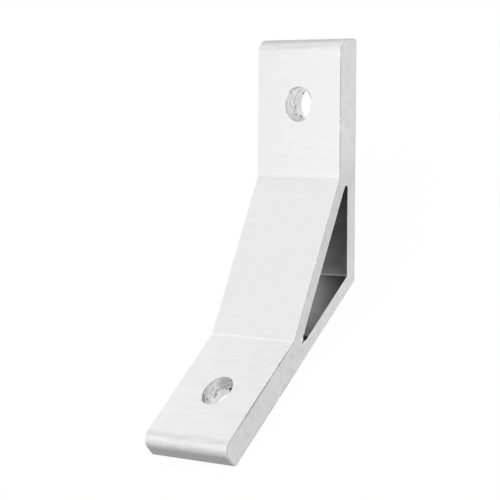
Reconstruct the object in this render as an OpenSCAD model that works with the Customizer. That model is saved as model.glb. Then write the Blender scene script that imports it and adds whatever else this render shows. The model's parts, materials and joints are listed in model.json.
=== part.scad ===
// Corner bracket for slotted aluminium framing, sawn from an extruded bar and drilled for bolts.
// Two flat legs meet at an open angle. A web joins them and leaves a hollow triangle in the corner.
//
// The foot lies on z = 0 and points along -Y, the arm rises from the corner towards +Y, and X runs
// along the extrusion. The origin is on the corner edge, halfway across the width. The section is
// drawn in a plane whose x is the part's Y and whose y is the part's Z.

/* [Legs] */
// Length of each leg along its mating face, from the corner edge to the end
leg_length = 60; // [56:1:90]
// Thickness of each leg between the web and the end
leg_thick = 6; // [5:0.5:8]
// Angle between the legs, measured on the side of the web
corner_angle = 135; // [100:5:150]
// Width of the bracket between its sawn faces
bar_width = 28; // [16:1:60]

/* [Web and hollow] */
// Distance from the corner edge at which the web leaves each leg
web_start = 25.4; // [22:0.2:31]
// Thickness of the web
web_thick = 2.7; // [2:0.1:3.5]
// Thickness of the wall between the hollow and each mating face
wall_thick = 2.9; // [2:0.1:3.5]

/* [Bolt holes] */
// Diameter of each bolt hole, which clears an 8 mm bolt
hole_d = 8.5; // [5:0.1:10]
// Distance from the end of the foot to the centre of its hole
foot_hole_from_end = 17.4; // [13:0.1:19]
// Distance from the end of the arm to the centre of its hole
arm_hole_from_end = 16.2; // [13:0.1:19]

/* [Rounds] */
// Radius of the end edge of each leg on the bolt head's side
end_round = 3; // [0.5:0.1:3.2]
// Radius of the end edge of each leg on the mating side
edge_break = 0.7; // [0.2:0.1:0.8]
// Radius of the edge on which the mating faces meet
corner_round = 0.5; // [0.2:0.1:2]
// Radius of the fillet where the web leaves each leg
fold_fillet = 2; // [0.5:0.5:6]
// Radius of the hollow's blunt corner, next to the corner edge
hollow_round = 0.4; // [0.2:0.1:1.5]
// Radius of the hollow's sharp corners, where the web meets the walls
tip_round = 0.5; // [0.2:0.1:0.8]

/* [Hidden] */
$fn = 96;
// How far a drill runs past the faces that it cuts
overrun = 1;
// How far an arc passes through the two faces that it blends, so that it meets each in one clean line
graze = 0.001;
// How much further than the corner's faces the piece that shapes an arc reaches, from the arc's centre
reach_past = 1.2;
// Slope of the arm above the foot
arm_rise = 180 - corner_angle;
// Slope of the web above the foot, and of the arm above the web
web_rise = arm_rise / 2;

// A point of the section on the foot: along it from the corner edge, and in from its mating face
function on_foot(along, depth) = [-along, depth];

// The same point on the arm, which mirrors the foot
function on_arm(along, depth) = [
    along * cos(arm_rise) - depth * sin(arm_rise),
    along * sin(arm_rise) + depth * cos(arm_rise)
];

// How far the hollow's sharp corner, before rounding, lies along the leg from the corner edge.
// The web's inner face runs web_thick inside its outer face, which starts at web_start on the leg.
hollow_reach = web_start + (leg_thick - wall_thick - web_thick / cos(web_rise)) / tan(web_rise);
// Where the two walls' inner faces meet, along either leg from the corner edge
hollow_corner = wall_thick * tan(web_rise);

// Corners of the section, counterclockwise, each with its radius
outer_corners = [
    [on_foot(0, 0), corner_round],
    [on_arm(leg_length, 0), edge_break],
    [on_arm(leg_length, leg_thick), end_round],
    [on_arm(web_start, leg_thick), fold_fillet],
    [on_foot(web_start, leg_thick), fold_fillet],
    [on_foot(leg_length, leg_thick), end_round],
    [on_foot(leg_length, 0), edge_break]
];

// Corners of the hollow, counterclockwise, each with its radius
hollow_corners = [
    [on_foot(hollow_corner, wall_thick), hollow_round],
    [on_arm(hollow_reach, wall_thick), tip_round],
    [on_foot(hollow_reach, wall_thick), tip_round]
];

// Unit vector along v
function unit(v) = v / norm(v);

// Sine of the turn at a corner, above zero where the outline bends to the left
function turn(before, corner, after) = cross(unit(corner - before), unit(after - corner));

// What lies between a sharp corner and the arc that replaces it. The piece reaches past the corner's
// two faces, so that it cuts or joins them cleanly.
module corner_waste(before, corner, after, radius) {
    back = unit(before - corner);
    ahead = unit(after - corner);
    half_angle = acos(back * ahead) / 2;
    tangent = radius / tan(half_angle);
    centre = corner + unit(back + ahead) * radius / sin(half_angle);
    kite = [corner, corner + back * tangent, centre, corner + ahead * tangent];
    difference() {
        polygon([for (p = kite) centre + (p - centre) * reach_past]);
        translate(centre) circle(radius + graze);
    }
}

// The waste of every corner that bends the same way: side is 1 for left and -1 for right
module all_waste(corners, side) {
    count = len(corners);
    for (i = [0 : count - 1]) {
        before = corners[(i + count - 1) % count][0];
        corner = corners[i][0];
        after = corners[(i + 1) % count][0];
        if (side * turn(before, corner, after) > 0)
            corner_waste(before, corner, after, corners[i][1]);
    }
}

// Closed outline with an arc at each corner: outward corners lose their waste, inward ones keep it
module rounded_outline(corners) {
    difference() {
        union() {
            polygon([for (c = corners) c[0]]);
            all_waste(corners, -1);
        }
        all_waste(corners, 1);
    }
}

// Cross-section of the extruded bar
module bar_section() {
    difference() {
        rounded_outline(outer_corners);
        rounded_outline(hollow_corners);
    }
}

// Drill through a leg that points along -Y, at a distance from its end
module drill(from_end) {
    translate([0, from_end - leg_length, -overrun])
        cylinder(d = hole_d, h = leg_thick + 2 * overrun);
}

// The same on the arm, which mirrors the foot across the plane that halves the corner
module arm_drill(from_end) {
    mirror([0, cos(web_rise), sin(web_rise)]) drill(from_end);
}

// The whole bracket
module corner_bracket() {
    color([0.88, 0.88, 0.89])
        difference() {
            rotate([90, 0, 90])
                linear_extrude(height = bar_width, center = true)
                    bar_section();
            drill(foot_hole_from_end);
            arm_drill(arm_hole_from_end);
        }
}

corner_bracket();
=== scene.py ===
import json
import math

import bmesh
import bpy
from mathutils import Matrix, Vector, noise


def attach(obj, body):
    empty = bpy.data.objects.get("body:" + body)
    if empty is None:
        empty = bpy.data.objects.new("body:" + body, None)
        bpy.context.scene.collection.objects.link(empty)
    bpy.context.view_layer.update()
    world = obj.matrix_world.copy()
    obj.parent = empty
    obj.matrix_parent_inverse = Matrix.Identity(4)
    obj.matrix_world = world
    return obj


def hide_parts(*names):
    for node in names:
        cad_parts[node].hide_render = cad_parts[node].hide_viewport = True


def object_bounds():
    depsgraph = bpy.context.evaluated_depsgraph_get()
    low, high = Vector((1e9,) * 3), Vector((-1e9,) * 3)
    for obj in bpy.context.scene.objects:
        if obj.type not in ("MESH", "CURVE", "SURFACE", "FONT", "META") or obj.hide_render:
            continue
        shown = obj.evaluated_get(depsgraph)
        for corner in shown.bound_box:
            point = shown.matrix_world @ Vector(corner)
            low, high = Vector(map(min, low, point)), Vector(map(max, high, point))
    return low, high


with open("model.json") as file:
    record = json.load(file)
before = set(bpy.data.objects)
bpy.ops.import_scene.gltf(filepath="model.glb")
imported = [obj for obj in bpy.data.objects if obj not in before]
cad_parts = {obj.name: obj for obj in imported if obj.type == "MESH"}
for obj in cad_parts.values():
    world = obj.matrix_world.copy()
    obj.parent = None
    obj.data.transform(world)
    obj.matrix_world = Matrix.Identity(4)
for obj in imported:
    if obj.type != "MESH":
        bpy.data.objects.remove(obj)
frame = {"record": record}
cad_low, cad_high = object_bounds()

# A corner bracket sawn from an extruded aluminium bar and drilled once in each leg. The foot lies on
# z = 0 and points along -Y, the arm rises from the corner towards +Y, and X runs along the extrusion.

MM = 0.001

# Sizes that come from the solid
MOUNTS = {mount["name"]: mount for mount in frame["record"]["mounts"]}
FOOT_AXIS = Vector(MOUNTS["foot_hole"]["axis"])
ARM_AXIS = Vector(MOUNTS["arm_hole"]["axis"])
HALF_WIDTH = cad_high.x
LEG_LENGTH = -cad_low.y
LEG_THICK = MOUNTS["foot_hole"]["dims"]["length_mm"] * MM
BORE_RADIUS = MOUNTS["foot_hole"]["dims"]["r_mm"] * MM
ARM_RISE = FOOT_AXIS.angle(ARM_AXIS)
WEB_RISE = ARM_RISE / 2

# The rest of the section
WEB_START = 25.4 * MM
WEB_THICK = 2.7 * MM
WALL_THICK = 2.9 * MM
END_ROUND = 3 * MM
EDGE_BREAK = 0.7 * MM
CORNER_ROUND = 0.5 * MM
FOLD_FILLET = 2 * MM
HOLLOW_ROUND = 0.4 * MM
TIP_ROUND = 0.5 * MM

# How finely the section is drawn: the turn between two points of an arc, and the step along a straight run
ARC_TURN = math.radians(6)
RUN_STEP = 0.4 * MM

# The sawn faces' edges: width of the broken edge, and of the worn margins on the sawn face and the skin; the
# skin's bright margin is partly painted highlight
SAWN_BREAK = 0.14 * MM
SAWN_MARGIN = 0.24 * MM
SKIN_MARGIN = 0.6 * MM
# How uneven the broken edge's width is, and the length of its uneven stretches
EDGE_UNEVEN = 0.45
EDGE_STRETCH = 1.3 * MM
# The hollow's sawn edges by the web and by the walls: width of the broken edge, and strength of the painted
# highlight on its burr
WEB_EDGE = (0.1 * MM, 1.0)
WALL_EDGE = (0.03 * MM, 0.45)
# The burr at the hollow's sharp corner by the foot, on the sawn face at +X: where along the foot its ragged
# part starts, where it starts to close the gap, where it is full, how much of the gap each part covers, and
# the size of its rags
TIP_BURR = (20.4 * MM, 22.3 * MM, 23.1 * MM)
TIP_BURR_RAGGED = 0.6
TIP_BURR_COVER = 0.75
TIP_BURR_SIZE = 0.35 * MM

# Points nearer to each other than this count as one
TOUCHING = 1e-7
# Edges where the surface turns more than this are drawn sharp
SHARP_TURN = math.radians(28)

# The bores: the round of the inner rim, how strongly the rims and the collar's inner edge carry edge wear
# and its painted highlight, and the steps round a rim
RIM_ROUND = 0.17 * MM
RIM_WEAR_AND_LIGHT = 0.5
RIM_STEPS = 3
# How far the drill broke each hole's edge on the mating side
BREAKOUT = {"foot_hole": 0.65 * MM, "arm_hole": 0.2 * MM}
# Width of the collar of skin round a rim, and how finely the wall is divided
COLLAR = 0.5 * MM
BORE_SEGMENTS = 240
WALL_ROWS = 48
# How far along the leg the skin round a bore is opened, either way from the bore's middle
WINDOW_REACH = 6.5 * MM

# Sizes of the drill's unevenness: pitch of its rings and smears, size of the grit on the wall, of the rim's
# rags and of the crooks in each mark's outline
RING_PITCH = 0.2 * MM
SMEAR_PITCH = 0.5 * MM
GRIT_SIZE = 0.3 * MM
RAGGED_SIZE = 0.55 * MM
WARP_SIZE = 0.7 * MM
# In millimetres: how far rings, smears and grit move the wall, how far it lies out as a whole, how deep it is
# torn, how far a burr stands in, and how far the rim's rags reach
RINGS_OUT = 0.03
SMEAR_OUT = 0.02
GRIT_OUT = 0.012
WALL_OUT = 0.035
TORN_OUT = 0.12
BURR_IN = 0.05
RAGGED_OUT = 0.07

# Marks that the drill left on each bore's wall, with broad patches of painted shade and painted light: the
# turn round the wall in degrees from +X, the depth under the inner face, the width and height of the mark,
# and its strength. Above 0 the wall is torn out, and dark over more of the mark the more the strength passes
# 1; the widest weak ones are painted shade. Below 0 a burr is bright, down to -1, as a painted highlight;
# the widest weak ones are painted light.
BORE_MARKS_AND_PAINTED_LIGHT = {
    "foot_hole": [
        (107.5, 4.55, 1.6, 1.4, 1.6), (114, 5.0, 0.9, 0.8, 0.6), (94, 3.2, 0.8, 0.9, 0.75),
        (106, 2.9, 1.5, 1.2, 0.5), (108, 2.1, 1.6, 1.0, 0.42), (120, 2.9, 1.6, 1.2, 0.42),
        (117, 3.8, 1.5, 1.0, 0.48), (104, 3.3, 1.0, 0.8, 0.52), (112, 2.4, 6.5, 5.0, 0.38),
        (154, 3.2, 0.8, 0.7, 0.65), (160, 3.7, 0.9, 0.8, 0.75), (168, 4.0, 0.8, 0.7, 0.65),
        (169, 3.0, 0.7, 0.7, 0.55), (146, 2.9, 1.1, 0.5, 0.45), (159, 2.1, 1.3, 0.5, 0.35),
        (171, 2.3, 0.9, 0.6, 0.28), (-129, 0.1, 1.4, 0.5, 0.7), (-116, 0.1, 1.0, 0.5, 0.7),
        (-162, 2.1, 1.4, 0.6, 0.55), (-162, 3.6, 1.4, 1.0, 0.42), (-140, 0.8, 3.0, 1.8, 0.28),
        (103, 3.75, 0.8, 0.3, -1.0), (92, 2.0, 0.7, 0.6, -0.9), (175, 3.6, 0.7, 0.5, -0.8),
        (156, 2.7, 0.6, 0.4, -0.8), (-151, 1.5, 1.1, 0.7, -1.0), (-144, 1.8, 0.9, 0.7, -1.0),
        (-161, 1.5, 0.9, 0.5, -0.9), (165, 0.9, 2.0, 1.2, -0.3), (60, 2.5, 0.9, 1.0, 0.6),
        (48, 3.4, 0.7, 0.7, 0.5), (20, 4.0, 0.8, 1.0, 0.6), (5, 2.2, 1.1, 0.5, -0.6),
        (-40, 3.0, 1.0, 0.8, 0.6), (-58, 2.4, 0.7, 0.6, 0.5), (-95, 4.2, 0.8, 0.9, 0.6),
        (-80, 1.4, 0.9, 0.4, -0.7),
    ],
    "arm_hole": [
        (135, 3.2, 0.9, 0.8, 0.6), (141, 5.4, 0.9, 0.9, 0.6), (125, 3.5, 0.9, 0.8, 0.5),
        (139, 1.0, 0.8, 0.8, 0.42), (149, 3.4, 0.9, 0.7, 0.4), (161, 3.3, 1.0, 0.6, 0.55),
        (175, 3.05, 1.2, 0.6, 0.6), (-171, 3.6, 1.0, 0.7, 0.7), (-168, 2.4, 1.1, 0.6, 0.42),
        (-159, 3.0, 1.0, 0.7, 0.5), (-148, 2.1, 0.8, 0.6, 0.45), (-143, 3.1, 0.9, 0.8, 0.7),
        (-136, 4.5, 1.2, 1.1, 0.75), (-131, 3.1, 0.9, 0.7, 0.5), (-137, 2.0, 0.8, 0.6, 0.42),
        (-116, 2.9, 1.4, 0.8, 0.5), (-112, 3.8, 5.5, 4.2, 0.3), (174, 2.5, 1.3, 0.5, -0.9),
        (131, 0.6, 1.1, 0.6, -0.8), (120, 2.0, 5.0, 3.4, -0.4), (151, 0.1, 3.2, 0.6, -0.7),
        (46, 0.05, 1.2, 0.8, 1.0), (34, 0.05, 1.2, 0.8, 1.0), (22, 0.05, 1.1, 0.6, 0.9),
        (-10, 0.05, 0.8, 0.6, 0.6),
        (40, 3.0, 0.9, 0.9, 0.6), (28, 3.6, 0.7, 0.7, 0.5), (8, 2.6, 1.2, 0.5, -0.6),
        (-20, 4.4, 0.9, 0.8, 0.6), (-48, 3.2, 0.7, 0.7, 0.5), (-75, 2.2, 1.0, 0.9, 0.6),
        (-88, 3.6, 0.8, 0.6, -0.7),
    ],
}

# Order of the materials on the bracket
SKIN, SAWN, HOLLOW, BORE = range(4)

# Tones of the metal: how much light each finish gives back
SKIN_TONE = 0.81
# The bright tone of worn edges, of painted highlights on burrs, chips and the hollow's blunt corner, and of
# the sawn face's light marks
WEAR_AND_HIGHLIGHT_TONE = 0.93
SAWN_TONE = 0.705
SAWN_EDGE_TONE = 0.3
# The hollow's tone, darker than the skin as painted shade
HOLLOW_SHADE_TONE = 0.56
BORE_DARK_TONE = 0.62
BORE_LIGHT_TONE = 0.86
# The tone of torn spots, and of broad painted shade on the bores' walls
TORN_AND_SHADE_TONE = 0.03
# The tone of the painted shade under a bore's inner rim
RIM_SHADE_TONE = 0.25
# The share of its light that the metal keeps: lowered by painted shade on a leg's end round and end face
# and at the arm's very end, and lowered in a smudge
END_PAINTED_SHADE = 0.64
SMUDGE_DULL = 0.89
ARM_END_PAINTED_SHADE = 0.8
# The middling values of the noise, which most of a surface has, and a wider range of them
MIDDLING = (0.3, 0.7)
WIDER = (0.25, 0.75)
# Size and reach of the crooks in the outlines of the sawn face's small marks
CROOK_SIZE = 0.5 * MM
CROOK_REACH = 0.4 * MM
# Length along the bar and width of the skin's broad patches, its smudges and its blotches
BROAD_PATCH = (5 * MM, 1.3 * MM, 1.3 * MM)
SMUDGE = (9 * MM, 0.5 * MM, 0.5 * MM)
BLOTCH = (3.4 * MM, 0.42 * MM, 0.42 * MM)
# Strength of the sawn face's dark edge line next to the web, and where on the foot the line grows weak
FAINT_EDGE = 0.15
FOOT_EDGE_FADES = (47 * MM, 55 * MM)
# Radius of the saw blade's marks on the sawn faces
SAW_RADIUS = 160 * MM
# Small marks on the sawn face at +X: leg, reach along it, height over its mating face and radius in
# millimetres, and how much lighter (above 0) or darker (below 0) the metal is there
SAWN_MARKS = [
    ("arm", 40.1, 5.85, 0.3, 0.7), ("arm", 39.6, 5.7, 0.25, -0.4), ("arm", 15.3, 2.85, 0.35, 0.9),
    ("arm", 14.9, 10.5, 0.3, -0.4), ("arm", 10.5, 10.8, 0.35, -0.35), ("arm", 12.2, 1.2, 0.3, -0.3),
    ("arm", 5.9, 0.7, 0.35, -0.35), ("arm", 5.0, 14.3, 0.3, 0.7), ("foot", 31.0, 1.8, 0.3, -0.4),
    ("foot", 42.6, 3.6, 0.35, -0.4), ("foot", 51.6, 2.8, 0.3, -0.4), ("foot", 28.5, 3.8, 0.9, -0.12),
    ("foot", 42.7, 1.0, 0.25, 0.6), ("foot", 22.9, 3.5, 0.22, -0.8), ("foot", 23.3, 3.45, 0.2, -0.7),
    ("foot", 23.7, 3.4, 0.2, -0.6), ("foot", 21.3, 3.75, 0.3, 0.8),
]


def on_foot(along, depth):
    """A point of the section on the foot: along it from the corner edge, and in from its mating face."""
    return Vector((0, -along, depth))


def on_arm(along, depth):
    """The same point on the arm, which mirrors the foot."""
    return Vector((
        0,
        along * math.cos(ARM_RISE) - depth * math.sin(ARM_RISE),
        along * math.sin(ARM_RISE) + depth * math.cos(ARM_RISE),
    ))


HOLLOW_REACH = WEB_START + (
    LEG_THICK - WALL_THICK - WEB_THICK / math.cos(WEB_RISE)
) / math.tan(WEB_RISE)
HOLLOW_CORNER = WALL_THICK * math.tan(WEB_RISE)

# Corners of the section, counterclockwise seen from +X, each with its radius
OUTER_CORNERS = [
    (on_foot(0, 0), CORNER_ROUND),
    (on_arm(LEG_LENGTH, 0), EDGE_BREAK),
    (on_arm(LEG_LENGTH, LEG_THICK), END_ROUND),
    (on_arm(WEB_START, LEG_THICK), FOLD_FILLET),
    (on_foot(WEB_START, LEG_THICK), FOLD_FILLET),
    (on_foot(LEG_LENGTH, LEG_THICK), END_ROUND),
    (on_foot(LEG_LENGTH, 0), EDGE_BREAK),
]
HOLLOW_CORNERS = [
    (on_foot(HOLLOW_CORNER, WALL_THICK), HOLLOW_ROUND),
    (on_arm(HOLLOW_REACH, WALL_THICK), TIP_ROUND),
    (on_foot(HOLLOW_REACH, WALL_THICK), TIP_ROUND),
]


def spin_corner(bm, before, corner, after, radius):
    """Spins a vertex along the arc that rounds one corner, and returns the arc's first and last vertex."""
    back = (before - corner).normalized()
    ahead = (after - corner).normalized()
    half_angle = back.angle(ahead) / 2
    centre = corner + (back + ahead).normalized() * radius / math.sin(half_angle)
    first = bm.verts.new(corner + back * radius / math.tan(half_angle))
    turn = math.pi - 2 * half_angle
    made = bmesh.ops.spin(
        bm, geom=[first], cent=centre, axis=back.cross(ahead).normalized(), angle=-turn,
        steps=max(2, round(turn / ARC_TURN)),
    )
    last = next(item for item in made["geom_last"] if isinstance(item, bmesh.types.BMVert))
    return first, last


def draw_outline(bm, corners):
    """Draws a closed outline: an arc at each corner, and a straight run from each to the next."""
    count = len(corners)
    arcs = [
        spin_corner(bm, corners[i - 1][0], corners[i][0], corners[(i + 1) % count][0], corners[i][1])
        for i in range(count)
    ]
    for i in range(count):
        bm.edges.new((arcs[i][1], arcs[(i + 1) % count][0]))


def extrude_bar(bm):
    """Fills the section with its hollow left open, and extrudes it across the width."""
    draw_outline(bm, OUTER_CORNERS)
    draw_outline(bm, HOLLOW_CORNERS)
    while long_runs := [e for e in bm.edges if e.calc_length() > RUN_STEP]:
        bmesh.ops.subdivide_edges(bm, edges=long_runs, cuts=1)
    bmesh.ops.triangle_fill(bm, use_beauty=True, edges=bm.edges[:], normal=(1, 0, 0))
    chords = [e for e in bm.edges if not e.is_boundary]
    bmesh.ops.dissolve_limit(bm, angle_limit=math.radians(1), verts=[], edges=chords)
    bmesh.ops.translate(bm, vec=(-HALF_WIDTH, 0, 0), verts=bm.verts[:])
    made = bmesh.ops.extrude_face_region(bm, geom=bm.faces[:])
    moved = [item for item in made["geom"] if isinstance(item, bmesh.types.BMVert)]
    bmesh.ops.translate(bm, vec=(2 * HALF_WIDTH, 0, 0), verts=moved)
    bmesh.ops.recalc_face_normals(bm, faces=bm.faces[:])


def hollow_gaps(point):
    """How far a point lies inside the hollow triangle's sides: the foot's wall, the arm's and the web."""
    centre = sum((corner for corner, _ in HOLLOW_CORNERS), Vector()) / len(HOLLOW_CORNERS)
    flat = Vector((0, point.y, point.z))
    gaps = []
    for i, (corner, _) in enumerate(HOLLOW_CORNERS):
        side = HOLLOW_CORNERS[i - 1][0] - corner
        inward = Vector((0, -side.z, side.y)).normalized()
        gap = inward.dot(flat - corner)
        gaps.append(gap if inward.dot(centre - corner) > 0 else -gap)
    return gaps


def uneven(place, size):
    """Uneven strength along an edge, from about -1 to 1."""
    return noise.noise(place / size) + 0.6 * noise.noise(place / (0.4 * size))


def over_tip(point):
    """Where the burr carries a point of the hollow's sawn edge, near its sharp corner by the foot."""
    tip = on_foot(HOLLOW_REACH, WALL_THICK)
    middle = Vector((0, math.cos(WEB_RISE / 2), math.sin(WEB_RISE / 2)))
    flat = Vector((0, point.y, point.z))
    onto = tip + middle * middle.dot(flat - tip)
    start, closing, full = TIP_BURR
    cover = TIP_BURR_COVER * max(0, min(1, (-point.y - closing) / (full - closing)))
    if start < -point.y < closing:
        cover = TIP_BURR_RAGGED * max(0, noise.noise(point / TIP_BURR_SIZE))
    return point + (onto - flat) * cover


def face_bar(bm, edge_wear_and_light, burr_highlight):
    """Tells skin, sawn faces and hollow apart, and breaks the sawn edges."""
    bm.normal_update()
    for face in bm.faces:
        if abs(face.normal.x) > 0.9:
            face.material_index = SAWN
        elif min(hollow_gaps(face.calc_center_median())) > -0.05 * MM:
            face.material_index = HOLLOW
    for side in (-1, 1):
        bmesh.ops.bisect_plane(
            bm, geom=bm.verts[:] + bm.edges[:] + bm.faces[:], dist=TOUCHING,
            plane_co=(side * (HALF_WIDTH - SKIN_MARGIN), 0, 0), plane_no=(1, 0, 0),
        )
    sawn = [face for face in bm.faces if face.material_index == SAWN]
    bmesh.ops.inset_region(bm, faces=sawn, thickness=SAWN_BREAK, use_boundary=True, use_even_offset=True)
    ends = [v for v in bm.verts if abs(v.co.x) > HALF_WIDTH - TOUCHING]
    for v in ends:
        gaps = hollow_gaps(v.co)
        by_hollow = min(gaps) > -2 * SAWN_BREAK
        v[edge_wear_and_light] = 1
        broken = SAWN_BREAK
        if by_hollow:
            broken, v[burr_highlight] = WEB_EDGE if gaps[2] < 2 * SAWN_BREAK else WALL_EDGE
        if any(face.material_index != SAWN for face in v.link_faces):
            v.co.x -= math.copysign(broken * (1 + EDGE_UNEVEN * uneven(v.co, EDGE_STRETCH)), v.co.x)
            if by_hollow and v.co.x > 0:
                v.co = over_tip(v.co)
    bmesh.ops.inset_region(bm, faces=sawn, thickness=SAWN_MARGIN, use_boundary=True, use_even_offset=True)
    for v in {v for face in sawn for v in face.verts}:
        v[edge_wear_and_light] = 0
        v[burr_highlight] = 0
    bmesh.ops.triangulate(bm, faces=sawn)


def open_window(bm, hole, face_side):
    """Takes the strips of skin round a hole away, on the inner side (1) or the mating side (-1)."""
    centre = Vector(hole["pos_m"])
    axis = Vector(hole["axis"])
    along = axis.cross(Vector((1, 0, 0)))
    gone = []
    for face in bm.faces:
        place = face.calc_center_median() - centre
        near = abs(place.dot(along)) < WINDOW_REACH and abs(place.x) < HALF_WIDTH - SKIN_MARGIN
        if near and face_side * place.dot(axis) > 0 and face_side * face.normal.dot(axis) > 0.999:
            gone.append(face)
    bmesh.ops.delete(bm, geom=gone, context="FACES")


def fill_window(bm):
    """Closes the open skin round a ring of the bore."""
    open_edges = [e for e in bm.edges if e.is_boundary or e.is_wire]
    bmesh.ops.triangle_fill(bm, use_beauty=True, edges=open_edges)


def rim_profile(size):
    """Radius and depth of the rings that round one rim of a bore, from the face inwards."""
    turns = [math.pi / 2 * i / RIM_STEPS for i in range(RIM_STEPS + 1)]
    return [
        (BORE_RADIUS + size * (1 - math.sin(turn)), LEG_THICK / 2 - size * (1 - math.cos(turn)))
        for turn in turns
    ]


def bore_profile(breakout):
    """Radius and depth of each ring of a bore, from the inner face to the mating face."""
    half = LEG_THICK / 2
    top, bottom = half - RIM_ROUND, breakout - half
    wall = [(BORE_RADIUS, top + (bottom - top) * i / WALL_ROWS) for i in range(1, WALL_ROWS)]
    far_rim = [(radius, -depth) for radius, depth in reversed(rim_profile(breakout))]
    inner, mating = (BORE_RADIUS + COLLAR, half), (BORE_RADIUS + COLLAR, -half)
    return [inner] + rim_profile(RIM_ROUND) + wall + far_rim + [mating]


def hole_place(hole):
    """The place of a bore: its middle, with Z out of the leg's inner face."""
    upright = Vector((0, 0, 1)).rotation_difference(Vector(hole["axis"]))
    return Matrix.Translation(hole["pos_m"]) @ upright.to_matrix().to_4x4()


def drill(bm, hole, breakout, edge_wear_and_light):
    """Makes a bore through one leg, and returns the vertices of its wall and rims."""
    place = hole_place(hole)
    home = place.inverted()
    profile = bore_profile(breakout)
    radius, depth = profile[0]
    open_window(bm, hole, 1)
    bmesh.ops.create_circle(
        bm, cap_ends=False, segments=BORE_SEGMENTS, radius=radius,
        matrix=place @ Matrix.Translation((0, 0, depth)),
    )
    ring_edges = [e for e in bm.edges if e.is_wire]
    fill_window(bm)
    wall = []
    for row, (next_radius, next_depth) in enumerate(profile[1:], 1):
        made = bmesh.ops.extrude_edge_only(bm, edges=ring_edges)["geom"]
        ring = [item for item in made if isinstance(item, bmesh.types.BMVert)]
        ring_edges = [item for item in made if isinstance(item, bmesh.types.BMEdge) and item.is_boundary]
        grow = next_radius / radius
        bmesh.ops.scale(bm, vec=(grow, grow, 1), space=home, verts=ring)
        bmesh.ops.translate(bm, vec=(0, 0, next_depth - depth), space=home, verts=ring)
        radius, depth = next_radius, next_depth
        on_skin = row in (1, len(profile) - 1)
        for face in (item for item in made if isinstance(item, bmesh.types.BMFace)):
            face.material_index = SKIN if on_skin else BORE
        if row < len(profile) - 1:
            wall += ring
        for v in ring:
            v[edge_wear_and_light] = RIM_WEAR_AND_LIGHT * (row < len(profile) - 1)
    open_window(bm, hole, -1)
    fill_window(bm)
    return wall


def mark_strength(marks, turn, depth):
    """The strength of the strongest mark at a place on a bore's wall: torn spots and broad painted shade
    above 0, burrs with a painted highlight and broad painted light below 0.
    """
    strongest = 0
    for mark_turn, mark_depth, wide, high, strength in marks:
        away = math.remainder(turn - math.radians(mark_turn), math.tau) * BORE_RADIUS / (wide * MM / 2)
        below = (depth - mark_depth * MM) / (high * MM / 2)
        here = strength * max(0, min(1, 2 * (1 - math.hypot(away, below))))
        if abs(here) > abs(strongest):
            strongest = here
    return strongest


def roughen(wall, hole, marks, torn_and_painted_light, ringed, seed):
    """Gives a bore's wall the drill's rings and chatter, its torn spots and burrs, and its ragged rims, and
    stores the marks' strength, broad painted shade and light among them, for its tone.
    """
    place = hole_place(hole)
    home = place.inverted()
    shift = Vector((11.3 * seed, 0, 0))
    half = LEG_THICK / 2
    for v in wall:
        local = home @ v.co
        outward = Vector((local.x, local.y, 0)).normalized()
        turn = math.atan2(local.y, local.x)
        rings = noise.noise(Vector((0.5 * outward.x, 0.5 * outward.y, local.z / RING_PITCH)) + shift)
        smear = noise.noise(Vector((2 * outward.x, 2 * outward.y, local.z / SMEAR_PITCH)) - shift)
        fine = noise.noise(local / GRIT_SIZE + shift)
        ragged = noise.noise(local / RAGGED_SIZE - shift)
        near_rim = max(0, 1 - (half - abs(local.z)) / (3 * RIM_ROUND))
        warp = Vector((noise.noise(local / WARP_SIZE + shift), noise.noise(local / WARP_SIZE - shift)))
        mark = mark_strength(marks, turn + 0.06 * warp.x, half - local.z + 0.25 * warp.y * MM)
        if mark >= 0:
            mark = max(0, mark * (1 + 0.6 * fine)) + max(0, 1.6 * (ragged - 0.42))
        pit = max(0, min(1, mark))
        lip = max(0, -mark)
        v[torn_and_painted_light] = min(1, mark)
        v[ringed] = rings + 0.6 * smear
        out = (
            RINGS_OUT * rings + SMEAR_OUT * smear + GRIT_OUT * fine + WALL_OUT
            + TORN_OUT * pit - BURR_IN * lip
        )
        out += RAGGED_OUT * near_rim * ragged
        v.co = place @ (local + outward * out * MM)


def make_bracket():
    """Builds the finished bracket as one mesh, in place."""
    bm = bmesh.new()
    extrude_bar(bm)
    names = ("edge_wear_and_light", "burr_highlight", "torn_and_painted_light", "ringed")
    edge_wear_and_light, burr_highlight, torn_and_painted_light, ringed = (bm.verts.layers.float.new(name) for name in names)
    face_bar(bm, edge_wear_and_light, burr_highlight)
    for seed, name in enumerate(("foot_hole", "arm_hole"), 1):
        wall = drill(bm, MOUNTS[name], BREAKOUT[name], edge_wear_and_light)
        roughen(wall, MOUNTS[name], BORE_MARKS_AND_PAINTED_LIGHT[name], torn_and_painted_light, ringed, seed)
    bmesh.ops.remove_doubles(bm, verts=bm.verts[:], dist=TOUCHING)
    bmesh.ops.recalc_face_normals(bm, faces=bm.faces[:])
    bm.normal_update()
    for face in bm.faces:
        face.smooth = face.material_index != SAWN or abs(face.normal.x) < 0.999
    for e in bm.edges:
        if len(e.link_faces) == 2 and e.calc_face_angle() > SHARP_TURN:
            e.smooth = all(face.material_index == BORE for face in e.link_faces)
    mesh = bpy.data.meshes.new("bracket_body")
    bm.to_mesh(mesh)
    bm.free()
    piece = bpy.data.objects.new("bracket_body", mesh)
    bpy.context.scene.collection.objects.link(piece)
    return piece


def new_group(name, inputs, outputs):
    """A node group with named inputs and outputs, and its two end nodes."""
    tree = bpy.data.node_groups.new(name, "ShaderNodeTree")
    for label, kind, value in inputs:
        socket = tree.interface.new_socket(label, in_out="INPUT", socket_type=kind)
        socket.default_value = value
    for label, kind in outputs:
        tree.interface.new_socket(label, in_out="OUTPUT", socket_type=kind)
    return tree, tree.nodes.new("NodeGroupInput"), tree.nodes.new("NodeGroupOutput")


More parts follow.
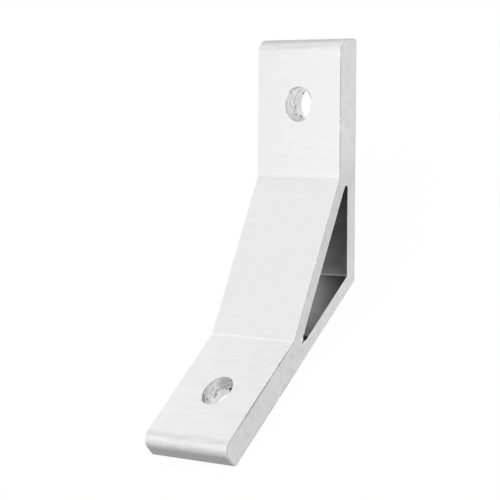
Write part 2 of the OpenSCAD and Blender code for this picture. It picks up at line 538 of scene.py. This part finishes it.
def add(tree, kind, links=None, **settings):
    """Adds a node, sets its settings, and links or fills its inputs."""
    node = tree.nodes.new(kind)
    for name, value in settings.items():
        setattr(node, name, value)
    for socket, source in (links or {}).items():
        if isinstance(source, bpy.types.NodeSocket):
            tree.links.new(source, node.inputs[socket])
        else:
            node.inputs[socket].default_value = source
    return node


def place_group(tree, group, **values):
    """Places a node group in a material with its own values."""
    node = tree.nodes.new("ShaderNodeGroup")
    node.node_tree = group
    for name, value in values.items():
        node.inputs[name.replace("_", " ").capitalize()].default_value = value
    return node


def object_place(tree):
    """A point's place on the bracket."""
    return add(tree, "ShaderNodeTexCoord").outputs["Object"]


def speckle(tree, place, sizes, detail=2.0, roughness=0.5):
    """Soft noise whose blotches measure sizes along the three axes."""
    stretched = add(tree, "ShaderNodeVectorMath", {0: place, 1: sizes}, operation="DIVIDE").outputs[0]
    return add(tree, "ShaderNodeTexNoise", {
        "Vector": stretched, "Scale": 1.0, "Detail": detail, "Roughness": roughness,
    }).outputs["Fac"]


def math_node(tree, operation, first, second=0.0):
    """One sum, product or the like of two values."""
    return add(tree, "ShaderNodeMath", {0: first, 1: second}, operation=operation).outputs[0]


def lines_group():
    """Lines that run along the extrusion, of uneven width and length."""
    tree, given, out = new_group(
        "die lines",
        [("Length", "NodeSocketFloat", 40 * MM), ("Spacing", "NodeSocketFloat", 0.5 * MM)],
        [("Lines", "NodeSocketFloat")],
    )
    sizes = add(tree, "ShaderNodeCombineXYZ", {
        "X": given.outputs["Length"], "Y": given.outputs["Spacing"], "Z": given.outputs["Spacing"],
    }).outputs[0]
    tree.links.new(speckle(tree, object_place(tree), sizes, 3.0, 0.6), out.inputs["Lines"])
    return tree


def grain_group():
    """Fine even grain, with a coarser mottle under it."""
    tree, given, out = new_group(
        "metal grain",
        [("Size", "NodeSocketFloat", 0.3 * MM), ("Mottle size", "NodeSocketFloat", 2 * MM)],
        [("Grain", "NodeSocketFloat"), ("Mottle", "NodeSocketFloat")],
    )
    for size, label in (("Size", "Grain"), ("Mottle size", "Mottle")):
        sizes = add(tree, "ShaderNodeCombineXYZ", {axis: given.outputs[size] for axis in "XYZ"}).outputs[0]
        tree.links.new(speckle(tree, object_place(tree), sizes), out.inputs[label])
    return tree


def saw_group():
    """Marks of a large saw blade, as arcs about a far centre, that run the arm's way across the section."""
    tree, given, out = new_group(
        "saw marks",
        [("Spacing", "NodeSocketFloat", 0.4 * MM), ("Length", "NodeSocketFloat", 6 * MM)],
        [("Marks", "NodeSocketFloat")],
    )
    centre = ARM_AXIS * SAW_RADIUS
    place = object_place(tree)
    away = add(tree, "ShaderNodeVectorMath", {0: place, 1: centre}, operation="DISTANCE").outputs["Value"]
    along = add(
        tree, "ShaderNodeVectorMath", {0: place, 1: on_arm(1, 0)}, operation="DOT_PRODUCT",
    ).outputs["Value"]
    parts = add(tree, "ShaderNodeSeparateXYZ", {0: place}).outputs
    blade = add(tree, "ShaderNodeCombineXYZ", {"X": away, "Y": along, "Z": parts["X"]}).outputs[0]
    sizes = add(tree, "ShaderNodeCombineXYZ", {
        "X": given.outputs["Spacing"], "Y": given.outputs["Length"], "Z": given.outputs["Length"],
    }).outputs[0]
    tree.links.new(speckle(tree, blade, sizes, 3.0, 0.65), out.inputs["Marks"])
    return tree


def reach_group():
    """How far a point lies along each leg from the corner edge, and how high over its leg's mating face."""
    tree, _, out = new_group("leg reach", [], [
        ("Foot", "NodeSocketFloat"), ("Arm", "NodeSocketFloat"), ("Height", "NodeSocketFloat"),
    ])
    ways = (on_foot(1, 0), on_arm(1, 0), FOOT_AXIS, ARM_AXIS)
    foot, arm, over_foot, over_arm = (add(
        tree, "ShaderNodeVectorMath", {0: object_place(tree), 1: way}, operation="DOT_PRODUCT",
    ).outputs["Value"] for way in ways)
    on_the_arm = math_node(tree, "GREATER_THAN", arm, foot)
    height = add(tree, "ShaderNodeMix", {0: on_the_arm, 2: over_foot, 3: over_arm}, data_type="FLOAT")
    for label, value in (("Foot", foot), ("Arm", arm), ("Height", height.outputs[0])):
        tree.links.new(value, out.inputs[label])
    return tree


def edge_mask_group():
    """Uneven patches, from the strength painted on the mesh, for edge wear, painted highlights and dark edge
    lines: solid where strong, broken where weak.
    """
    tree, given, out = new_group(
        "patchy edge mask",
        [
            ("Strength", "NodeSocketFloat", 1.0), ("Size", "NodeSocketFloat", 1 * MM),
            ("Cover", "NodeSocketFloat", 0.5),
        ],
        [("Edge patches", "NodeSocketFloat")],
    )
    sizes = add(tree, "ShaderNodeCombineXYZ", {axis: given.outputs["Size"] for axis in "XYZ"}).outputs[0]
    patches = speckle(tree, object_place(tree), sizes, 3.0)
    low = math_node(tree, "SUBTRACT", 0.85, given.outputs["Cover"])
    kept = add(tree, "ShaderNodeMapRange", {
        "Value": patches, "From Min": low, "From Max": math_node(tree, "ADD", low, 0.15),
    }).outputs["Result"]
    tree.links.new(math_node(tree, "MULTIPLY", given.outputs["Strength"], kept), out.inputs["Edge patches"])
    return tree


def mix_tone(tree, low, high, factor):
    """A grey that goes from low to high with a factor. Either end may be a level or a tone made before."""
    node = add(tree, "ShaderNodeMix", data_type="RGBA", clamp_factor=True)
    for socket, end in ((6, low), (7, high)):
        if isinstance(end, bpy.types.NodeSocket):
            tree.links.new(end, node.inputs[socket])
        else:
            node.inputs[socket].default_value = (end, end, end, 1)
    tree.links.new(factor, node.inputs[0])
    return node.outputs[2]


def scale_tone(tree, tone, factor):
    """A tone made lighter or darker all over by a factor that changes over the surface."""
    return add(tree, "ShaderNodeVectorMath", {0: tone, 3: factor}, operation="SCALE").outputs[0]


def spread(tree, value, low, high, to_low=0.0, to_high=1.0):
    """Maps a value's range to another, clamped."""
    return add(tree, "ShaderNodeMapRange", {
        "Value": value, "From Min": low, "From Max": high, "To Min": to_low, "To Max": to_high,
    }).outputs["Result"]


def swing(tree, value, most, values=MIDDLING):
    """A small change of tone either way, up to most, that follows a noise."""
    return spread(tree, value, *values, -most, most)


def band(tree, value, middle, half_width):
    """1 in the middle of a band of values, 0 at its edges and past them."""
    away = math_node(tree, "ABSOLUTE", math_node(tree, "SUBTRACT", value, middle))
    return spread(tree, away, 0.0, half_width, 1.0, 0.0)


def painted(tree, name):
    """A strength painted on the mesh."""
    return add(tree, "ShaderNodeAttribute", attribute_name=name).outputs["Fac"]


def empty_material(name):
    """A material with nothing but its output."""
    material = bpy.data.materials.new(name)
    material.use_nodes = True
    material.node_tree.nodes.clear()
    return material, material.node_tree, material.node_tree.nodes.new("ShaderNodeOutputMaterial")


def new_metal(name):
    """An empty metal material: its tree and its shader."""
    material, tree, out = empty_material(name)
    shader = tree.nodes.new("ShaderNodeBsdfPrincipled")
    tree.links.new(shader.outputs["BSDF"], out.inputs["Surface"])
    shader.inputs["Metallic"].default_value = 1.0
    return material, tree, shader


def finish_metal(tree, shader, tone, rough, height, depth):
    """Links a metal's tone and roughness, and makes its bump from a relief and how deep 1 of it goes."""
    bump = add(tree, "ShaderNodeBump", {"Strength": 1.0, "Distance": depth, "Height": height})
    tree.links.new(tone, shader.inputs["Base Color"])
    tree.links.new(rough, shader.inputs["Roughness"])
    tree.links.new(bump.outputs["Normal"], shader.inputs["Normal"])


def skin_metal(groups):
    """Satin skin of the extruded bar: faint die lines and clouds, bright edges of wear and painted highlight,
    painted shade on the ends, painted light in the folds and across the legs.
    """
    material, tree, shader = new_metal("extruded_skin")
    lines = place_group(tree, groups["lines"], Length=45 * MM, Spacing=0.45 * MM).outputs["Lines"]
    grain = place_group(tree, groups["grain"], Size=0.22 * MM, Mottle_size=5 * MM)
    reach = place_group(tree, groups["reach"])
    edge_mask = place_group(tree, groups["edge_mask"], Size=0.9 * MM, Cover=0.5)
    tree.links.new(painted(tree, "edge_wear_and_light"), edge_mask.inputs["Strength"])

    # Clouds and lines, strongest on the foot and weakest on the web
    far = math_node(tree, "MAXIMUM", reach.outputs["Foot"], reach.outputs["Arm"])
    on_foot_part = spread(tree, reach.outputs["Foot"], WEB_START - 1 * MM, WEB_START, 0.0, 0.7)
    on_arm_part = spread(tree, reach.outputs["Arm"], WEB_START - 1 * MM, WEB_START, 0.0, 0.25)
    everywhere = 0.4
    half_arm = math_node(tree, "MULTIPLY", on_arm_part, 0.5)
    strength = math_node(tree, "ADD", math_node(tree, "ADD", on_foot_part, half_arm), everywhere)
    parts = add(tree, "ShaderNodeSeparateXYZ", {0: object_place(tree)}).outputs
    clouds = swing(tree, grain.outputs["Mottle"], 0.016)
    patches = speckle(tree, object_place(tree), BROAD_PATCH)
    broad = swing(tree, patches, 0.02)
    streaks = swing(tree, lines, 0.014, WIDER)
    grit = swing(tree, grain.outputs["Grain"], 0.006)
    coarse = math_node(tree, "ADD", clouds, streaks)
    change = math_node(tree, "ADD", coarse, math_node(tree, "ADD", grit, broad))
    # Painted light: the arm lighter all over and towards +X, the foot lighter towards -X, and the foot's tone
    # sloping from the web to its end
    arm_painted_slope = math_node(tree, "MULTIPLY", on_arm_part, 0.11)
    foot_painted_slope = math_node(tree, "MULTIPLY", on_foot_part, 0.025)
    painted_slope = math_node(tree, "SUBTRACT", arm_painted_slope, foot_painted_slope)
    painted_light_drift = math_node(tree, "MULTIPLY", painted_slope, spread(tree, parts["X"], -HALF_WIDTH, HALF_WIDTH, -1.0, 1.0))
    towards_end = spread(tree, reach.outputs["Foot"], WEB_START, LEG_LENGTH, -0.018, 0.016)
    painted_light_drift = math_node(tree, "ADD", painted_light_drift, math_node(tree, "MULTIPLY", towards_end, on_foot_part))
    arm_painted_light = math_node(tree, "MULTIPLY", on_arm_part, 0.05)
    painted_light_drift = math_node(tree, "ADD", painted_light_drift, arm_painted_light)
    level = math_node(tree, "ADD", math_node(tree, "MULTIPLY", change, strength), painted_light_drift)
    tone = scale_tone(tree, (SKIN_TONE,) * 3, math_node(tree, "ADD", 1.0, level))

    # Painted shade darkens each leg's end as it turns away, and smudges lie across the bar where it starts to
    # turn
    height = reach.outputs["Height"]
    upper_share, lower_share = 0.42, 0.58
    turned = spread(tree, height, LEG_THICK - 0.5 * MM, LEG_THICK - 1.25 * MM, 0.0, upper_share)
    lower = spread(tree, height, LEG_THICK - 2.1 * MM, LEG_THICK - END_ROUND, 0.0, lower_share)
    past_start = spread(tree, far, LEG_LENGTH - END_ROUND, LEG_LENGTH - 0.5 * END_ROUND)
    off_mating = spread(tree, height, 0.02 * MM, 0.3 * MM)
    end = math_node(tree, "MULTIPLY", math_node(tree, "ADD", turned, lower), math_node(
        tree, "MULTIPLY", past_start, off_mating))
    tone = scale_tone(tree, tone, spread(tree, end, 0.0, 1.0, 1.0, END_PAINTED_SHADE))
    tone = scale_tone(tree, tone, spread(
        tree, reach.outputs["Arm"], LEG_LENGTH - 1.8 * MM, LEG_LENGTH - 0.3 * MM, 1.0, ARM_END_PAINTED_SHADE))
    smudges = speckle(tree, object_place(tree), SMUDGE, 3.0)
    smudge_band = math_node(
        tree, "MAXIMUM", band(tree, reach.outputs["Foot"], LEG_LENGTH - 2.6 * MM, 1.4 * MM),
        band(tree, reach.outputs["Arm"], LEG_LENGTH - 1.9 * MM, 0.8 * MM),
    )
    smudged = math_node(tree, "MULTIPLY", smudge_band, spread(tree, smudges, 0.35, 0.55))
    tone = scale_tone(tree, tone, spread(tree, smudged, 0.0, 1.0, 1.0, SMUDGE_DULL))
    blotches = speckle(tree, object_place(tree), BLOTCH, 3.0)
    on_round = spread(tree, far, LEG_LENGTH - 1.1 * END_ROUND, LEG_LENGTH - 0.8 * END_ROUND)
    blotched = math_node(tree, "MULTIPLY", on_round, spread(tree, blotches, *MIDDLING, -0.06, 0.05))
    tone = scale_tone(tree, tone, math_node(tree, "ADD", 1.0, blotched))

    # A painted highlight in the fold by the foot, and a painted highlight over a line of painted shade in the
    # fold by the arm
    foot_fold_highlight = band(tree, reach.outputs["Foot"], WEB_START + 0.1 * MM, 0.6 * MM)
    arm_fold_highlight = band(tree, reach.outputs["Arm"], WEB_START + 0.9 * MM, 0.8 * MM)
    arm_fold_shade = band(tree, reach.outputs["Arm"], WEB_START - 0.3 * MM, 0.6 * MM)
    inner = spread(tree, parts["Z"], LEG_THICK - 1 * MM, LEG_THICK - 0.5 * MM)
    foot_highlight_gain = math_node(tree, "MULTIPLY", foot_fold_highlight, 0.1)
    arm_highlight_gain = math_node(tree, "MULTIPLY", arm_fold_highlight, 0.03)
    arm_shade_loss = math_node(tree, "MULTIPLY", arm_fold_shade, 0.035)
    fold_painted_light = math_node(tree, "SUBTRACT", math_node(tree, "ADD", foot_highlight_gain, arm_highlight_gain), arm_shade_loss)
    tone = scale_tone(tree, tone, math_node(tree, "ADD", 1.0, math_node(tree, "MULTIPLY", fold_painted_light, inner)))

    # Bright edges, partly worn and partly a painted highlight on the broken edges; then dark round torn spots
    # at the rims
    tone = mix_tone(tree, tone, WEAR_AND_HIGHLIGHT_TONE, edge_mask.outputs["Edge patches"])
    tone = mix_tone(tree, tone, TORN_AND_SHADE_TONE, spread(tree, painted(tree, "torn_and_painted_light"), 0.15, 0.8, 0.0, 0.8))
    rough = spread(tree, grain.outputs["Mottle"], *MIDDLING, 0.38, 0.46)
    relief = math_node(tree, "ADD", lines, math_node(tree, "MULTIPLY", grain.outputs["Grain"], 0.3))
    finish_metal(tree, shader, tone, rough, relief, 0.003 * MM)
    return material


def small_marks(tree, sign):
    """The strength of the small marks on the sawn face: the light ones (1) or the dark ones (-1)."""
    crooked = add(tree, "ShaderNodeTexNoise", {"Vector": object_place(tree), "Scale": 1 / CROOK_SIZE})
    shift = add(tree, "ShaderNodeVectorMath", {
        0: crooked.outputs["Color"], 1: (0.5, 0.5, 0.5)}, operation="SUBTRACT").outputs[0]
    place = add(tree, "ShaderNodeVectorMath", {
        0: shift, 1: (CROOK_REACH,) * 3, 2: object_place(tree)}, operation="MULTIPLY_ADD").outputs[0]
    total = None
    for leg, along, height, radius, strength in SAWN_MARKS:
        if strength * sign > 0:
            middle = (on_foot if leg == "foot" else on_arm)(along * MM, height * MM)
            middle.x = HALF_WIDTH
            away = add(
                tree, "ShaderNodeVectorMath", {0: place, 1: middle}, operation="DISTANCE",
            ).outputs["Value"]
            mark = spread(tree, away, 0.4 * radius * MM, radius * MM, abs(strength), 0.0)
            total = math_node(tree, "MAXIMUM", mark, total) if total else mark
    return total


def sawn_metal(groups):
    """Finely sawn cross-section, duller than the skin: saw marks, mottle, dark edges and a painted highlight
    on the burr.
    """
    material, tree, shader = new_metal("sawn_face")
    grain = place_group(tree, groups["grain"], Size=0.4 * MM, Mottle_size=2.2 * MM)
    saw = place_group(tree, groups["saw"], Spacing=0.35 * MM, Length=5 * MM)
    reach = place_group(tree, groups["reach"])
    dark = place_group(tree, groups["edge_mask"], Size=4 * MM, Cover=0.55)
    tree.links.new(painted(tree, "edge_wear_and_light"), dark.inputs["Strength"])
    burr = place_group(tree, groups["edge_mask"], Size=0.8 * MM, Cover=0.65)
    tree.links.new(painted(tree, "burr_highlight"), burr.inputs["Strength"])

    change = math_node(tree, "ADD", math_node(
        tree, "ADD", swing(tree, grain.outputs["Mottle"], 0.05, WIDER),
        swing(tree, saw.outputs["Marks"], 0.07, WIDER),
    ), swing(tree, grain.outputs["Grain"], 0.03))
    on_arm_part = spread(tree, reach.outputs["Arm"], WEB_START, WEB_START + 6 * MM, 0.0, 0.1)
    down_foot = spread(tree, reach.outputs["Foot"], WEB_START, LEG_LENGTH, 0.0, -0.035)
    far = math_node(tree, "MAXIMUM", reach.outputs["Foot"], reach.outputs["Arm"])
    by_hollow = spread(tree, far, WEB_START, WEB_START - 4 * MM)
    on_wall = spread(tree, reach.outputs["Height"], WALL_THICK, WALL_THICK + 0.5 * MM, 0.03, -0.03)
    along_legs = math_node(tree, "ADD", on_arm_part, down_foot)
    level = math_node(tree, "ADD", math_node(tree, "ADD", 1.0, change), along_legs)
    level = math_node(tree, "ADD", level, math_node(tree, "MULTIPLY", by_hollow, on_wall))
    tone = scale_tone(tree, (SAWN_TONE,) * 3, level)

    # Dark specks, few and small
    specks = speckle(tree, object_place(tree), (1.2 * MM, 1.2 * MM, 1.2 * MM), 2.0)
    tone = scale_tone(tree, tone, spread(tree, specks, 0.68, 0.78, 1.0, 0.87))

    # The dark line along the edge is strong in the middle of the foot, weak on the arm and faint on the web
    foot, arm = reach.outputs["Foot"], reach.outputs["Arm"]
    from_web = spread(tree, foot, WEB_START, WEB_START + 7 * MM, FAINT_EDGE, 1.0)
    to_end = spread(tree, foot, *FOOT_EDGE_FADES, 1.0, 0.4)
    by_foot = math_node(tree, "MULTIPLY", from_web, to_end)
    by_arm = spread(tree, arm, WEB_START, WEB_START + 4 * MM, FAINT_EDGE, 0.5)
    edge = math_node(tree, "MULTIPLY", dark.outputs["Edge patches"], math_node(tree, "MAXIMUM", by_foot, by_arm))
    tone = mix_tone(tree, tone, SAWN_EDGE_TONE, edge)
    # A painted highlight on the burr along the hollow's sawn edges
    tone = mix_tone(tree, tone, WEAR_AND_HIGHLIGHT_TONE, spread(tree, burr.outputs["Edge patches"], 0.1, 0.9))
    for sign, mark_tone in ((-1, SAWN_EDGE_TONE), (1, WEAR_AND_HIGHLIGHT_TONE)):
        tone = mix_tone(tree, tone, mark_tone, small_marks(tree, sign))
    rough = spread(tree, saw.outputs["Marks"], *MIDDLING, 0.44, 0.56)
    fine_relief = math_node(tree, "MULTIPLY", grain.outputs["Grain"], 0.6)
    relief = math_node(tree, "ADD", saw.outputs["Marks"], fine_relief)
    finish_metal(tree, shader, tone, rough, relief, 0.02 * MM)
    return material


def hollow_metal(groups):
    """Wall of the hollow, with its die lines, darkened by painted shade: darkest at its sharp corner by the
    foot.
    """
    material, tree, shader = new_metal("hollow_wall")
    lines = place_group(tree, groups["lines"], Length=60 * MM, Spacing=0.5 * MM).outputs["Lines"]
    grain = place_group(tree, groups["grain"], Size=0.4 * MM, Mottle_size=4 * MM)
    reach = place_group(tree, groups["reach"])
    change = math_node(tree, "ADD", spread(tree, lines, *WIDER, 0.93, 1.07), swing(
        tree, grain.outputs["Mottle"], 0.05))
    tone = scale_tone(tree, (HOLLOW_SHADE_TONE,) * 3, change)

    # Painted shade: darkest by the blunt corner and towards the sharp corner's tip, lighter partway along the
    # foot's wall and towards -X, and dimmer on the arm's wall
    foot, arm = reach.outputs["Foot"], reach.outputs["Arm"]
    parts = add(tree, "ShaderNodeSeparateXYZ", {0: object_place(tree)}).outputs
    blunt_corner_shade = 0.54
    from_corner = spread(tree, foot, HOLLOW_CORNER, HOLLOW_CORNER + 9 * MM, blunt_corner_shade, 1.3)
    fading = spread(tree, foot, 13 * MM, HOLLOW_REACH, 1.0, 0.2)
    tip_shade = spread(tree, foot, HOLLOW_REACH - 5.3 * MM, HOLLOW_REACH - 4.6 * MM, 1.0, 0.12)
    shade_to_tip = math_node(tree, "MULTIPLY", fading, tip_shade)
    across = spread(tree, parts["X"], -HALF_WIDTH, HALF_WIDTH, 1.75, 0.96)
    by_foot = math_node(tree, "MULTIPLY", across, math_node(tree, "MULTIPLY", from_corner, shade_to_tip))
    by_arm = spread(
        tree, arm, HOLLOW_CORNER + 0.8 * MM, HOLLOW_CORNER + 4.5 * MM, blunt_corner_shade, 0.78)
    on_arm_wall = spread(tree, arm, HOLLOW_CORNER - 0.1 * MM, HOLLOW_CORNER + 0.1 * MM)
    wall = add(tree, "ShaderNodeMix", {0: on_arm_wall, 2: by_foot, 3: by_arm}, data_type="FLOAT").outputs[0]
    tone = scale_tone(tree, tone, wall)
    # A painted highlight along the blunt corner, on the arm's side
    tone = mix_tone(tree, tone, WEAR_AND_HIGHLIGHT_TONE, band(tree, arm, HOLLOW_CORNER + 0.1 * MM, 0.25 * MM))

    # Painted highlights: bright chips in the sharp corner by the foot, next to the sawn face, and the burr
    # along the sawn edges
    chips = speckle(tree, object_place(tree), (0.5 * MM, 0.5 * MM, 0.5 * MM))
    chipped = math_node(tree, "MULTIPLY", spread(tree, chips, 0.52, 0.6), band(
        tree, foot, HOLLOW_REACH - 5.5 * MM, 0.7 * MM))
    by_sawn_face = spread(tree, parts["X"], HALF_WIDTH - 1.6 * MM, HALF_WIDTH - 0.8 * MM)
    chipped = math_node(tree, "MULTIPLY", chipped, by_sawn_face)
    tone = mix_tone(tree, tone, WEAR_AND_HIGHLIGHT_TONE, chipped)
    tone = mix_tone(tree, tone, WEAR_AND_HIGHLIGHT_TONE, spread(tree, painted(tree, "burr_highlight"), 0.75, 1.0, 0.0, 0.6))
    rough = spread(tree, grain.outputs["Mottle"], *MIDDLING, 0.26, 0.34)
    relief = math_node(tree, "ADD", lines, math_node(tree, "MULTIPLY", grain.outputs["Grain"], 0.3))
    finish_metal(tree, shader, tone, rough, relief, 0.01 * MM)
    return material


def bore_metal(groups):
    """Drilled wall: rings round it, dark torn spots and broad painted shade, burrs with a painted highlight,
    and a line of painted shade under the inner rim.
    """
    material, tree, shader = new_metal("drilled_bore")
    grain = place_group(tree, groups["grain"], Size=0.35 * MM, Mottle_size=1.8 * MM)
    reach = place_group(tree, groups["reach"])
    rings = spread(tree, painted(tree, "ringed"), -0.8, 0.6)
    tone = mix_tone(tree, BORE_DARK_TONE, BORE_LIGHT_TONE, rings)
    tone = scale_tone(tree, tone, spread(tree, grain.outputs["Mottle"], *MIDDLING, 0.92, 1.08))
    tone = scale_tone(tree, tone, spread(tree, grain.outputs["Grain"], *MIDDLING, 0.85, 1.12))
    torn_and_painted_light = painted(tree, "torn_and_painted_light")
    # Dark torn spots, and broad patches of painted shade
    tone = mix_tone(tree, tone, TORN_AND_SHADE_TONE, spread(tree, torn_and_painted_light, 0.1, 1.0, 0.0, 0.95))
    # A line of painted shade under the inner rim
    under_rim_shade = band(tree, reach.outputs["Height"], LEG_THICK - 0.17 * MM, 0.17 * MM)
    uneven_line = spread(tree, grain.outputs["Mottle"], 0.42, 0.58, 0.15, 0.75)
    tone = mix_tone(tree, tone, RIM_SHADE_TONE, math_node(tree, "MULTIPLY", under_rim_shade, uneven_line))
    # Painted highlights on burrs, and broad patches of painted light
    tone = mix_tone(tree, tone, 1.0, spread(tree, torn_and_painted_light, -0.15, -0.8))
    rough = spread(tree, grain.outputs["Grain"], *MIDDLING, 0.26, 0.4)
    finish_metal(tree, shader, tone, rough, grain.outputs["Grain"], 0.02 * MM)
    return material


def dress(piece):
    """Gives the bracket its metals, in the order of SKIN, SAWN, HOLLOW and BORE."""
    groups = {
        "lines": lines_group(), "grain": grain_group(), "saw": saw_group(),
        "reach": reach_group(), "edge_mask": edge_mask_group(),
    }
    for metal in (skin_metal, sawn_metal, hollow_metal, bore_metal):
        piece.data.materials.append(metal(groups))


# The photograph's view: where the camera stands, its bearing and height in degrees, its roll and lens
CAMERA_AT = Vector((0.39699, -0.28286, 0.33935))
CAMERA_AZIMUTH = math.radians(55.575)
CAMERA_ELEVATION = math.radians(33.405)
CAMERA_ROLL = math.radians(-35.394)
CAMERA_LENS = 168.98


def make_camera():
    """Stands the camera where the photograph was taken from."""
    data = bpy.data.cameras.new("camera")
    data.lens = CAMERA_LENS
    data.sensor_width = 36
    data.clip_start, data.clip_end = 0.01, 20
    camera = bpy.data.objects.new("camera", data)
    bpy.context.scene.collection.objects.link(camera)
    back = Vector((
        math.sin(CAMERA_AZIMUTH) * math.cos(CAMERA_ELEVATION),
        -math.cos(CAMERA_AZIMUTH) * math.cos(CAMERA_ELEVATION),
        math.sin(CAMERA_ELEVATION),
    ))
    level = Vector((math.cos(CAMERA_AZIMUTH), math.sin(CAMERA_AZIMUTH), 0))
    right = Matrix.Rotation(CAMERA_ROLL, 3, back) @ level
    up = back.cross(right)
    turn = Matrix((right, up, back)).transposed().to_4x4()
    camera.matrix_world = Matrix.Translation(CAMERA_AT) @ turn
    bpy.context.scene.camera = camera


FLOOR_SIZE = 6.0
FLOOR_GAP = 0.05 * MM
# The floor's own glow, as the camera and the metal see it, and the share of it that shows shadows
FLOOR_GLOW = 1.0
FLOOR_PAPER = (0.97, 0.97, 0.97)
SHADOW_SHARE = 0.06
# The dark card in front of the foot's end: how bright it is in the metal, how far below the foot it lies,
# and two of its corners seen from above, in millimetres
CARD_GLOW = 0.6
CARD_DROP = 0.02 * MM
CARDS = {
    "foot_card": ((-75, -105), (14, -50)),
}


def new_stage_piece(name, bm, material):
    """A piece of the studio, not of the bracket."""
    mesh = bpy.data.meshes.new(name)
    bm.to_mesh(mesh)
    bm.free()
    mesh.materials.append(material)
    piece = bpy.data.objects.new(name, mesh)
    bpy.context.scene.collection.objects.link(piece)
    return piece


def paper():
    """White paper that glows evenly where it is seen, under the shadows that fall on it."""
    material, tree, out = empty_material("floor_paper")
    lit = add(tree, "ShaderNodeBsdfDiffuse", {"Color": (*FLOOR_PAPER, 1)})
    glow = add(tree, "ShaderNodeEmission", {"Strength": FLOOR_GLOW})
    ray = add(tree, "ShaderNodeLightPath")
    direct = add(tree, "ShaderNodeMath", {
        0: ray.outputs["Is Camera Ray"], 1: ray.outputs["Is Glossy Ray"],
    }, operation="MAXIMUM")
    seen = add(tree, "ShaderNodeMath", {
        0: direct.outputs[0], 1: ray.outputs["Is Transmission Ray"],
    }, operation="MAXIMUM")
    share = add(tree, "ShaderNodeMath", {0: seen.outputs[0], 1: 1 - SHADOW_SHARE}, operation="MULTIPLY")
    mixed = add(tree, "ShaderNodeMixShader", {0: share.outputs[0], 1: lit.outputs[0], 2: glow.outputs[0]})
    tree.links.new(mixed.outputs[0], out.inputs["Surface"])
    return material


def dark_card():
    """Dark card that only the metal reflects."""
    material, tree, out = empty_material("dark_card")
    glow = add(tree, "ShaderNodeEmission", {"Strength": CARD_GLOW})
    tree.links.new(glow.outputs[0], out.inputs["Surface"])
    return material


def make_floor():
    """A plain white floor under the foot."""
    bm = bmesh.new()
    bmesh.ops.create_grid(bm, x_segments=1, y_segments=1, size=FLOOR_SIZE / 2)
    bmesh.ops.translate(bm, vec=(0, 0, -FLOOR_GAP), verts=bm.verts[:])
    new_stage_piece("floor", bm, paper())


def make_cards():
    """Lays the dark card in front of the foot's end, so that its end face turns dark in the light."""
    card = dark_card()
    for name, (near, far) in CARDS.items():
        low_corner, high_corner = Vector(near) * MM, Vector(far) * MM
        size, middle = high_corner - low_corner, (low_corner + high_corner) / 2
        bm = bmesh.new()
        bmesh.ops.create_grid(bm, x_segments=1, y_segments=1, size=0.5)
        bmesh.ops.scale(bm, vec=(size.x, size.y, 1), verts=bm.verts[:])
        bmesh.ops.translate(bm, vec=(middle.x, middle.y, -CARD_DROP), verts=bm.verts[:])
        piece = new_stage_piece(name, bm, card)
        piece.visible_camera = False
        piece.visible_diffuse = False
        piece.visible_shadow = False
        piece.visible_transmission = False


# Each soft lamp's bearing and height in degrees, its distance and size in metres, and its power in watts
LAMPS = {
    "key": (-50, 28, 1.2, 0.8, 0.28),
    "fill": (-125, 35, 1.2, 0.8, 0.1),
    "top": (0, 85, 1.5, 1.0, 0.6),
}
SKY_STRENGTH = 1.0


def make_lamps():
    """Soft square lamps that face the bracket, and an even white sky."""
    middle = (cad_low + cad_high) / 2
    for name, (azimuth, elevation, distance, size, power) in LAMPS.items():
        a, e = math.radians(azimuth), math.radians(elevation)
        towards = Vector((math.sin(a) * math.cos(e), -math.cos(a) * math.cos(e), math.sin(e)))
        data = bpy.data.lights.new(name, "AREA")
        data.size = size
        data.energy = power
        lamp = bpy.data.objects.new(name, data)
        lamp.location = middle + towards * distance
        lamp.rotation_euler = towards.to_track_quat("Z", "Y").to_euler()
        bpy.context.scene.collection.objects.link(lamp)
    world = bpy.data.worlds.new("sky")
    world.use_nodes = True
    world.node_tree.nodes["Background"].inputs["Color"].default_value = (1, 1, 1, 1)
    world.node_tree.nodes["Background"].inputs["Strength"].default_value = SKY_STRENGTH
    bpy.context.scene.world = world


bracket = make_bracket()
dress(bracket)
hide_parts("corner_bracket")
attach(bracket, "root")
make_camera()
make_floor()
make_cards()
make_lamps()
bpy.context.scene.view_settings.view_transform = "Standard"
